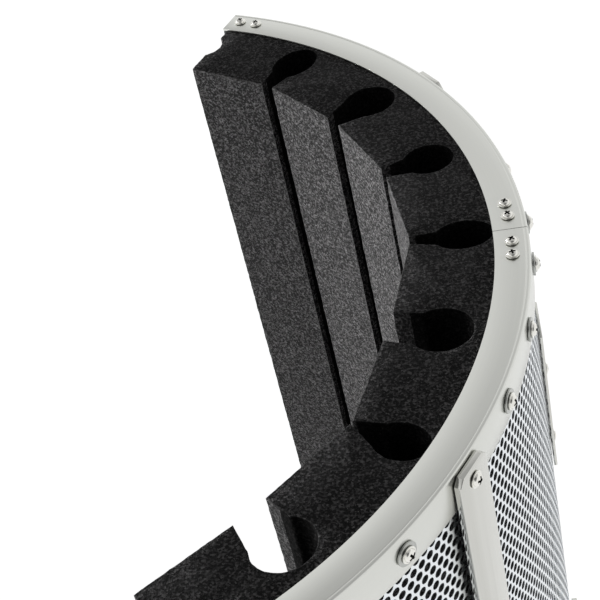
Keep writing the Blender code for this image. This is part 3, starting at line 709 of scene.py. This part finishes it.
# Foam: each hand-cut slot, from the left end, has its mouth's width and sway, its throat's width,
# and its keyhole's sway, depth, half length and half width; sways are in degrees
foam = {
    "slots": (
        (7.4 * mm, -0.1, 10.8 * mm, -0.4, 19.8 * mm, 13.2 * mm, 10.1 * mm),
        (10.0 * mm, -0.5, 17.6 * mm, -0.7, 18.1 * mm, 13.0 * mm, 11.9 * mm),
        (7.6 * mm, -0.7, 11.8 * mm, -0.5, 18.8 * mm, 11.6 * mm, 10.8 * mm),
        (4.8 * mm, -1.2, 8.8 * mm, -0.7, 21.7 * mm, 12.8 * mm, 9.5 * mm),
        (17.2 * mm, -1.0, 18.4 * mm, -0.8, 15.9 * mm, 13.4 * mm, 12.8 * mm),
        (1.6 * mm, -1.0, 12.4 * mm, -0.5, 22.1 * mm, 12.0 * mm, 9.5 * mm),
        (16.2 * mm, -0.9, 20.6 * mm, -0.2, 15.5 * mm, 12.7 * mm, 13.0 * mm),
    ),
    "thickness": 44.2 * mm,
    "mouthFan": 0.35,
    "endRadius": 9.8 * mm,
    "endSetback": 0.48,
    "endOverrun": 1.0,
    "endDepth": 19.3 * mm,
    "rebateInset": 1.5 * mm,
    "rebateDepth": 7.0 * mm,
    "rebateSteps": 3,
    "ledge": 1.0 * mm,  # how far inside the rebate the rough cut starts
    "keyholeSteps": 36,
    "endSteps": 18,
    "backSteps": 84,
    "wallStep": 1.6 * mm,
    "levelStep": 2.2 * mm,
    "edge": 0.3 * mm,
    "rough": 0.24 * mm,  # how far the cut surface wanders
    "roughScale": 1.7 * mm,
    "roughRise": 0.4,  # how much of that goes up and down
    "roughSeed": 7,
    "darkFrom": 1.5 * mm,  # how far inside the mouths the slots' walls take the painted shade
    "darkTo": 60.0,  # the angle past which no wall is a slot's
}
foamOuter = frameInner - shield["clearance"]
foamCorner = foamOuter - foam["thickness"]


def roundPoints(centre, radius, start, end, steps):
    angles = [start + (end - start) * i / steps for i in range(steps + 1)]
    return [centre + radius * Vector((math.cos(a), math.sin(a), 0.0)) for a in angles]


def slotOutline(index):
    # from the mouth's right corner, round the oval keyhole, to its left corner
    slots = foam["slots"]
    mouth, mouthSway, throat, keyholeSway, depth, halfLength, halfWidth = slots[index]
    pitch = 2 * (shield["halfAngle"] + foam["endOverrun"]) / (len(slots) + 1)
    angle = (index - (len(slots) - 1) / 2) * pitch
    place = outwardPlace(foamCorner + depth, angle + keyholeSway, 0.0)
    opening = math.asin(throat / 2 / halfWidth)
    steps = foam["keyholeSteps"]
    turns = [opening + 2 * (math.pi - opening) * i / steps for i in range(steps + 1)]
    around = [place @ Vector((halfWidth * math.sin(t), 0.0, -halfLength * math.cos(t))) for t in turns]
    mouthRadius = foamCorner - foam["mouthFan"] * mouth
    half = arcAngle(mouth / 2, mouthRadius)
    right = arcPoint(mouthRadius, angle + mouthSway + half)
    left = arcPoint(mouthRadius, angle + mouthSway - half)
    return [right, *around, left]


def endOutline():
    # the right end, from its outer corner, round what is left of the last keyhole, inwards
    angle = shield["halfAngle"] - foam["endSetback"]
    beyond = shield["halfAngle"] + foam["endOverrun"]
    distance = foamCorner + foam["endDepth"]
    radius = foam["endRadius"]
    opening = math.acos(distance * math.sin(math.radians(beyond - angle)) / radius)
    towards = math.pi - math.radians(angle)
    centre, steps = arcPoint(distance, beyond), foam["endSteps"]
    around = roundPoints(centre, radius, towards - opening, towards + opening, steps)
    return [*around, arcPoint(foamCorner - foam["mouthFan"] * foam["slots"][0][0], angle)]


def foamOutline():
    angle = shield["halfAngle"] - foam["endSetback"]
    steps = foam["backSteps"]
    outer = [arcPoint(foamOuter, -angle + 2 * angle * i / steps) for i in range(steps + 1)]
    right = endOutline()
    left = [Vector((-p.x, p.y, p.z)) for p in reversed(right)]
    middle = [p for index in reversed(range(len(foam["slots"]))) for p in slotOutline(index)]
    return outer + right + middle + left


def makeFoam():
    margin = shield["rimSheet"] + shield["clearance"]
    low, high = shieldBottom + margin, shieldTop - margin
    rebate = shield["rimInner"] + foam["rebateInset"]
    bm = bmesh.new()
    verts = [bm.verts.new((p.x, p.y, low)) for p in foamOutline()]
    for edge in [bm.edges.new((verts[i - 1], verts[i])) for i in range(len(verts))]:
        cuts = math.ceil(edge.calc_length() / foam["wallStep"]) - 1
        if cuts > 0:
            bmesh.ops.subdivide_edges(bm, edges=[edge], cuts=cuts)
    # the slab rises level by level, and steps in where it passes the rims
    stepLow, stepHigh = low + foam["rebateDepth"], high - foam["rebateDepth"]
    middle = math.ceil((stepHigh - stepLow) / foam["levelStep"])
    steps, depth = foam["rebateSteps"], foam["rebateDepth"]
    below = [low + depth * i / steps for i in range(1, steps + 1)]
    between = [stepLow + (stepHigh - stepLow) * i / middle for i in range(middle + 1)]
    above = [stepHigh + depth * i / steps for i in range(steps + 1)]
    heights = below + between + above
    narrow = [True] * (1 + len(below)) + [False] * len(between) + [True] * len(above)
    rings = [bm.verts[:]]
    loop = bm.edges[:]
    for height in heights:
        made = bmesh.ops.extrude_edge_only(bm, edges=loop)
        loop = edgesOf(made)
        rings.append(vertsOf(made))
        for v in rings[-1]:
            v.co.z = height
    for ring, isNarrow in zip(rings, narrow):
        for v in ring:
            radius = math.hypot(v.co.x, v.co.y - arcY)
            if isNarrow and radius > rebate:
                v.co.x *= rebate / radius
                v.co.y = arcY + (v.co.y - arcY) * rebate / radius
    bmesh.ops.remove_doubles(bm, verts=bm.verts, dist=0.05 * mm)
    openEdges = [e for e in bm.edges if e.is_boundary]
    ends = [[e for e in openEdges if (e.verts[0].co.z > stepHigh) == up] for up in (False, True)]
    caps = [bmesh.ops.edgeloop_fill(bm, edges=edges)["faces"][0] for edges in ends]
    bmesh.ops.recalc_face_normals(bm, faces=bm.faces)
    roundEdges(bm, [e for cap in caps for e in cap.edges], foam["edge"])
    cutInside = rebate - foam["ledge"]
    noise.seed_set(foam["roughSeed"])
    for v in bm.verts:
        if math.hypot(v.co.x, v.co.y - arcY) < cutInside:
            push = noise.noise_vector(v.co / foam["roughScale"])
            push.z *= foam["roughRise"]
            v.co += push * foam["rough"]
    piece = linkMesh("slotted_foam", bm)
    piece.data.materials.append(finishes["foam"][0])
    piece.data.materials.append(slotShadeFoam)
    # painted shade: the slots' upright walls get the darker foam
    for face in piece.data.polygons:
        x, y, _ = face.center
        within = foamCorner + foam["darkFrom"] < math.hypot(x, y - arcY) < cutInside
        inSlot = abs(math.degrees(math.atan2(x, y - arcY))) < foam["darkTo"]
        upright = abs(face.normal.z) < 0.5
        if within and inSlot and upright:
            face.material_index = 1
    dress(piece, finishes["foam"], replaced=("foam_slab",), sharp=50)
    print("foam faces", len(piece.data.polygons))


# Straps, flat bars with clipped corners
strap = {
    "width": 20.0 * mm, "thickness": 3.0 * mm, "setback": 2.0 * mm, "chamfer": 3.0 * mm,
    "edge": 0.35 * mm,
}


def makeStraps():
    half, cut = strap["width"] / 2, strap["chamfer"]
    low, high = shieldBottom + strap["setback"], shieldTop - strap["setback"]
    for side, word in sides:
        angle = bandScrewAngles(side)[screwPlaces["strapIndex"]]
        place = outwardPlace(rimOuter + shield["clearance"], angle, 0.0)
        bm = bmesh.new()
        face = addFace(bm, (
            (-half, -low - cut, 0.0), (-half + cut, -low, 0.0), (half - cut, -low, 0.0),
            (half, -low - cut, 0.0), (half, -high + cut, 0.0), (half - cut, -high, 0.0),
            (-half + cut, -high, 0.0), (-half, -high + cut, 0.0),
        ))
        lift(bm, face, (0.0, 0.0, strap["thickness"]))
        roundEdges(bm, bm.edges[:], strap["edge"])
        bmesh.ops.transform(bm, matrix=place, verts=bm.verts)
        piece = linkMesh("flat_strap_" + word, bm)
        places = [outwardPlace(rimOuter, angle, bandLevel(top)) for top, _ in levels]
        carve(piece, screwHoles(places, screwKinds["band"][2], 2 * mm, 6 * mm))
        dress(piece, finishes["strap"], replaced=("strap_" + word,))


# Plates and blocks whose CAD shape is right, with their edges eased
softened = {
    "end_upright_left": ("zinc", 0.2 * mm),
    "end_upright_right": ("zinc", 0.2 * mm),
    "top_splice_plate": ("zinc", 0.2 * mm),
    "bottom_splice_plate": ("zinc", 0.2 * mm),
    "top_inner_strip": ("zinc", 0.2 * mm),
    "bottom_inner_strip": ("zinc", 0.2 * mm),
    "seam_backing_strip": ("zinc", 0.2 * mm),
    "seam_plate": ("strap", 0.3 * mm),
    "bracket_shim": ("zinc", 0.2 * mm),
    "rear_bracket": ("plate", 0.4 * mm),
    "mount_rail": ("rail", 0.5 * mm),
    "socket_nut": ("screw", 0.4 * mm),
    "slide_nut": ("screw", 0.3 * mm),
    "clamp_washer": ("screw", 0.2 * mm),
}


def makeSoftened():
    for name, (finish, width) in softened.items():
        bm = bmesh.new()
        bm.from_mesh(nodes[name].data)
        bmesh.ops.remove_doubles(bm, verts=bm.verts, dist=0.002 * mm)
        bmesh.ops.dissolve_limit(
            bm, angle_limit=math.radians(0.5), verts=bm.verts, edges=bm.edges,
        )
        roundEdges(bm, sharpEdges(bm), width)
        piece = linkMesh("eased_" + name, bm)
        body = "post" if name in ("slide_nut", "clamp_washer") else "shield"
        dress(piece, finishes[finish], body, replaced=(name,))


# Microphone post, its nuts and the stand socket
post = {
    "stud": 4.0 * mm,
    "radius": 6.0 * mm,
    "collar": 9.5 * mm,
    "collarHeight": 3.0 * mm,
    "thread": 7.9 * mm,
    "threadLength": 14.0 * mm,
    "threadPitch": 0.94 * mm,
    "threadDepth": 0.5 * mm,
    "shoulder": 18.0 * mm,
    "length": 66.0 * mm,
    "clampNut": 14.0 * mm,
    "clampNutEdge": 1.2 * mm,
    "lockRing": 13.0 * mm,
    "lockRingEdge": 0.5 * mm,
    "knurls": 14,
    "knurlDepth": 0.8 * mm,
    "ease": 0.5 * mm,
    "leadIn": 1.0 * mm,  # the thread's chamfered end
    "threadStart": 0.3 * mm,  # its first groove, above the collar
    "threadEnd": 1.2 * mm,  # its last groove, below the top
    "sides": 48,
}
socket = {
    "bore": 8.0 * mm, "barrel": 11.0 * mm, "flange": 14.5 * mm, "flangeThickness": 2.5 * mm,
    "height": 23.0 * mm, "threadDepth": 0.4 * mm, "threadEnd": 1.0 * mm, "ease": 0.4 * mm,
    "leadIn": 0.8 * mm,
}


def cutThread(bm, origin, radius, low, high, depth):
    # moves the turned wall in and out along a helix
    for v in bm.verts:
        x, y, z = v.co - origin
        distance = math.hypot(x, y)
        if abs(distance - radius) < 0.01 * mm and low <= z <= high:
            phase = 2 * math.pi * z / post["threadPitch"] - math.atan2(y, x)
            share = 1 - depth * (0.5 - 0.5 * math.cos(phase)) / distance
            v.co.x, v.co.y = origin.x + x * share, origin.y + y * share


def threadPoints(radius, low, high):
    count = math.ceil((high - low) / (post["threadPitch"] / 6))
    return [(radius, low + (high - low) * i / count) for i in range(count + 1)]


def makePost():
    low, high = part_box("mic_post")
    origin = Vector(((low.x + high.x) / 2, (low.y + high.y) / 2, low.z))
    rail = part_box("mount_rail")[1].z - low.z  # the rail's top above the stud's foot
    shoulder = rail + post["shoulder"]
    collar = shoulder + post["length"]
    threadLow = collar + post["collarHeight"]
    top = threadLow + post["threadLength"]
    ease, leadIn = post["ease"], post["leadIn"]
    profile = [
        (0.0, 0.0), (post["stud"] - ease, 0.0), (post["stud"], ease),
        (post["stud"], shoulder), (post["radius"] - ease, shoulder), (post["radius"], shoulder + ease),
        (post["radius"], collar), (post["collar"] - ease, collar), (post["collar"], collar + ease),
        (post["collar"], threadLow - ease), (post["collar"] - ease, threadLow),
        *threadPoints(post["thread"], threadLow, top - leadIn),
        (post["thread"] - leadIn, top), (0.0, top),
    ]
    bm = bmesh.new()
    turn(bm, profile, post["sides"], Matrix.Translation(origin))
    first, last = threadLow + post["threadStart"], top - post["threadEnd"]
    cutThread(bm, origin, post["thread"], first, last, post["threadDepth"])
    piece = linkMesh("threaded_post", bm)
    dress(piece, finishes["strap"], "post", ("mic_post",), sharp=40)


def makeKnurled(name, node, size, finish, body):
    # a ring with rounded grips round it, its size its outer radius, bore and rounded edge
    outer, bore, edge = size
    low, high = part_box(node)
    middle = nodeCentre(node)
    bm = bmesh.new()
    bmesh.ops.create_circle(bm, segments=post["knurls"] * 8, radius=outer, cap_ends=True)
    for v in bm.verts:
        wave = 0.5 - 0.5 * math.cos(post["knurls"] * math.atan2(v.co.y, v.co.x))
        v.co *= 1 - post["knurlDepth"] * wave ** 2 / outer
    lift(bm, bm.faces[:][0], (0.0, 0.0, high.z - low.z))
    bmesh.ops.recalc_face_normals(bm, faces=bm.faces)
    rings = [e for e in bm.edges if abs(e.verts[0].co.z - e.verts[1].co.z) < 1e-7]
    roundEdges(bm, rings, edge, 3)
    bmesh.ops.translate(bm, verts=bm.verts, vec=(middle.x, middle.y, low.z))
    piece = linkMesh(name, bm)
    hole = bmesh.new()
    height = high.z - low.z
    place = upPlace(middle.x, middle.y, low.z)
    plug(hole, bore, -1 * mm, height + 1 * mm, place, post["sides"])
    carve(piece, hole)
    dress(piece, finishes[finish], body, (node,))


def makeSocket():
    low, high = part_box("stand_socket")
    middle = nodeCentre("stand_socket")
    origin = Vector((middle.x, middle.y, low.z))
    ease, leadIn = socket["ease"], socket["leadIn"]
    inner = threadPoints(socket["bore"], leadIn, socket["height"] - leadIn)
    profile = [
        *inner, (socket["bore"] + leadIn, socket["height"]),
        (socket["barrel"] - ease, socket["height"]), (socket["barrel"], socket["height"] - ease),
        (socket["barrel"], socket["flangeThickness"]),
        (socket["flange"] - ease, socket["flangeThickness"]),
        (socket["flange"], socket["flangeThickness"] - ease), (socket["flange"], ease),
        (socket["flange"] - ease, 0.0), (socket["bore"] + leadIn, 0.0),
    ]
    bm = bmesh.new()
    turn(bm, profile, post["sides"], Matrix.Translation(origin), closed=True)
    # the thread's grooves go out into the wall, so the depth is negative
    first, last = socket["threadEnd"], socket["height"] - socket["threadEnd"]
    cutThread(bm, origin, socket["bore"], first, last, -socket["threadDepth"])
    dress(linkMesh("threaded_socket", bm), finishes["screw"], replaced=("stand_socket",), sharp=40)


makeRims()
makePerforatedSheets()
makeFoam()
makeStraps()
print("shield made")
makeShieldScrews()
makeBackScrews()
print("screws made")
makeSoftened()
makePost()
gripBore = post["stud"] + shield["clearance"]
gripSize = (post["clampNut"], gripBore, post["clampNutEdge"])
makeKnurled("grip_clamp_nut", "clamp_nut", gripSize, "nylon", "clamp")
ringBore = post["thread"] + shield["clearance"]
ringSize = (post["lockRing"], ringBore, post["lockRingEdge"])
makeKnurled("grip_lock_ring", "lock_ring", ringSize, "screw", "ring")
makeSocket()
print("fittings made")

# Camera: it looks down at the near side of the arc, a little turned
camera = {
    "azimuth": 99.362,
    "elevation": 39.435,
    "roll": -13.947,
    "fromArc": (518.1 * mm, 229.3 * mm, 409.1 * mm),  # from the arc's centre at the rim's top
    "lens": 92.86,
    "sensor": 36.0,
}


def makeCamera():
    azimuth, elevation = math.radians(camera["azimuth"]), math.radians(camera["elevation"])
    back = Vector((
        math.sin(azimuth) * math.cos(elevation),
        -math.cos(azimuth) * math.cos(elevation),
        math.sin(elevation),
    ))
    data = bpy.data.cameras.new("camera")
    data.lens, data.sensor_width = camera["lens"], camera["sensor"]
    thing = bpy.data.objects.new("camera", data)
    bpy.context.scene.collection.objects.link(thing)
    aim = back.to_track_quat("Z", "Y").to_matrix().to_4x4()
    roll = Matrix.Rotation(math.radians(camera["roll"]), 4, "Z")
    place = Vector((0.0, arcY, shieldTop)) + Vector(camera["fromArc"])
    thing.matrix_world = Matrix.Translation(place) @ aim @ roll
    data.clip_start, data.clip_end = 0.01, 50.0
    bpy.context.scene.camera = thing


# Light: a white room that mirrors see, a dimmer one that lights the foam, and a soft key from the front
lighting = {
    "room": 0.10,
    # how mirrors see the room darken overhead: from one height to another, down to a share
    "overhead": ((0.56, 0.64, 0.70), (0.72, 0.80, 0.76)),
    "dark": (0.762, 0.126, 0.635),  # where mirrors see the room's dark side, behind the camera
    "darkEdge": (0.78, 0.92),  # the cosines between which the room gets that dark
    "darkShare": 0.22,
    "key": 66.0,
    "keyFrom": (-0.98, -2.02, -0.02),
    "keySize": (1.40, 0.26),  # wide, and lower than the shield's top
    "floorColour": "#E8E8E8",
    "floorLift": 0.90,  # what the camera and mirrors see of the floor beyond its lit colour
    "floorRadius": 6.0,
    "floorDrop": 0.2 * mm,
}


def seenDirectly(tree):
    # 1 for what the camera, mirrors and glass see, 0 for what lights the object
    path = addNode(tree, "LightPath").outputs
    both = {0: path["Is Camera Ray"], 1: path["Is Glossy Ray"]}
    shiny = addNode(tree, "Math", both, operation="MAXIMUM")
    both = {0: shiny.outputs[0], 1: path["Is Transmission Ray"]}
    return addNode(tree, "Math", both, operation="MAXIMUM").outputs[0]


def makeWorld():
    world = bpy.data.worlds.new("studio")
    bpy.context.scene.world = world
    world.use_nodes = True
    tree = world.node_tree
    background = tree.nodes["Background"]
    direction = addNode(tree, "TexCoord").outputs["Generated"]
    height = addNode(tree, "SeparateXYZ", {0: direction}).outputs["Z"]
    dimmed = 1.0
    for low, high, share in lighting["overhead"]:
        step = addNode(tree, "MapRange", {
            "Value": height, "From Min": low, "From Max": high, "To Min": 1.0, "To Max": share,
        }).outputs[0]
        dimmed = addNode(tree, "Math", {0: dimmed, 1: step}, operation="MULTIPLY").outputs[0]
    towards = addNode(tree, "VectorMath", {0: direction, 1: lighting["dark"]}, operation="DOT_PRODUCT")
    outer, inner = lighting["darkEdge"]
    shade = addNode(tree, "MapRange", {
        "Value": towards.outputs["Value"], "From Min": outer, "From Max": inner, "To Min": 1.0,
        "To Max": lighting["darkShare"],
    }).outputs[0]
    dimmed = addNode(tree, "Math", {0: dimmed, 1: shade}, operation="MULTIPLY").outputs[0]
    path = addNode(tree, "LightPath").outputs
    mirrored = addNode(tree, "Mix", {0: path["Is Glossy Ray"], 2: 1.0, 3: dimmed}).outputs[0]
    strength = addNode(tree, "Mix", {0: seenDirectly(tree), 2: lighting["room"], 3: mirrored})
    tree.links.new(strength.outputs[0], background.inputs["Strength"])
    background.inputs["Color"].default_value = (1.0, 1.0, 1.0, 1.0)


def makeFloor():
    bm = bmesh.new()
    bmesh.ops.create_circle(bm, segments=64, radius=lighting["floorRadius"], cap_ends=True)
    level = cadBox[0].z - lighting["floorDrop"]
    bmesh.ops.translate(bm, verts=bm.verts, vec=(0.0, 0.0, level))
    floor = linkMesh("floor", bm)
    material, tree, shader = startMaterial("white paper floor", {
        "Base Color": linear(lighting["floorColour"]), "Roughness": 0.9, "Specular IOR Level": 0.0,
    })
    lift = {0: seenDirectly(tree), 1: lighting["floorLift"]}
    lifted = addNode(tree, "Math", lift, operation="MULTIPLY")
    tree.links.new(lifted.outputs[0], shader.inputs["Emission Strength"])
    shader.inputs["Emission Color"].default_value = (1.0, 1.0, 1.0, 1.0)
    # clear from below, so that the object's underside can be seen
    below = addNode(tree, "NewGeometry").outputs["Backfacing"]
    solid = addNode(tree, "Math", {0: 1.0, 1: below}, operation="SUBTRACT").outputs[0]
    tree.links.new(solid, shader.inputs["Alpha"])
    if floor.data.polygons[0].normal.z < 0:
        floor.data.flip_normals()
    floor.data.materials.append(material)


def makeLight(name, place, size, power):
    data = bpy.data.lights.new(name, "AREA")
    data.shape, data.energy = "RECTANGLE", power
    data.size, data.size_y = size
    thing = bpy.data.objects.new(name, data)
    bpy.context.scene.collection.objects.link(thing)
    middle = Vector((0.0, 0.0, (shieldTop + shieldBottom) / 2))
    thing.location = middle + Vector(place)
    thing.rotation_mode = "QUATERNION"
    thing.rotation_quaternion = Vector(place).to_track_quat("Z", "Y")


bpy.context.scene.view_settings.view_transform = "Standard"
makeCamera()
makeWorld()
makeFloor()
makeLight("key", lighting["keyFrom"], lighting["keySize"], lighting["key"])
print("camera and studio made")
